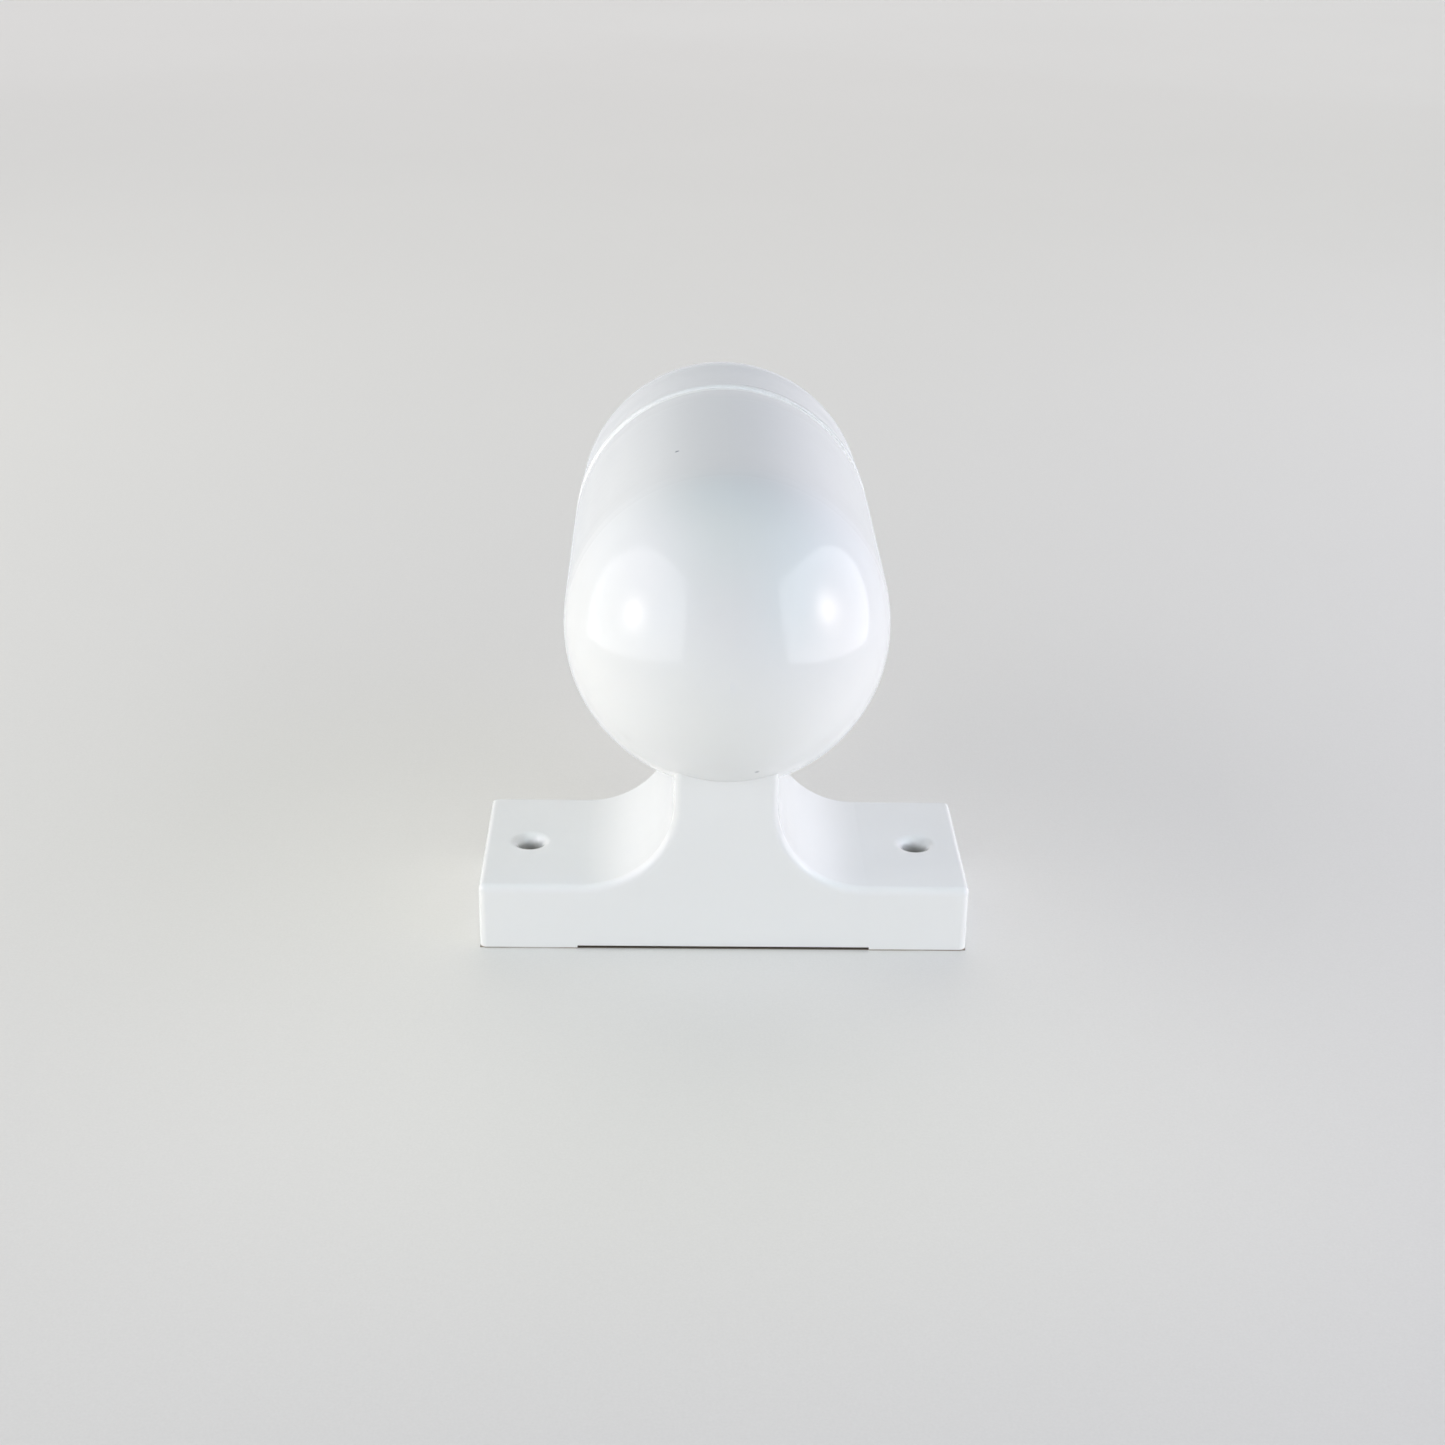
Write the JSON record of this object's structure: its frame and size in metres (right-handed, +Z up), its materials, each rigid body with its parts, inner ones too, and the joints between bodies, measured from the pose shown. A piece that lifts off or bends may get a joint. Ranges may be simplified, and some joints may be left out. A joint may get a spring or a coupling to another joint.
{
  "type": "fence post cap",
  "caption": "Screw-down post cap: a T-shaped foot with a filleted neck carries a hollow ball-nosed capsule, closed at the rear by a push-in end cap with a seal ring.",
  "frame": {"origin": "centre of the foot's underside, midway between the two screw holes", "axes": "+Z up, away from the post; X along the foot's length, through both screw holes; the capsule's axis runs along Y, its ball nose towards -Y and its end cap towards +Y"},
  "size_m": [0.0888, 0.1257, 0.0863],
  "materials": {
    "foot_plastic": "glossy moulded white plastic",
    "shell_plastic": "glossy moulded white plastic",
    "cap_plastic": "glossy moulded white plastic",
    "seal_rubber": "smooth black seal rubber",
    "screw_steel": "plain stainless steel",
    "washer_steel": "plain stainless steel"
  },
  "bodies": {
    "body": {"mounting_foot": "foot_plastic", "capsule_shell": "shell_plastic", "neck_screws": "screw_steel", "neck_washers": "washer_steel"},
    "rear_cap": {"end_cap": "cap_plastic", "cap_seal": "seal_rubber"}
  },
  "joints": [
    {"name": "end_cap_pull", "type": "slide", "parent": "body", "child": "rear_cap", "axis": [0, 1, 0], "range_m": [0, 0.03]}
  ]
}
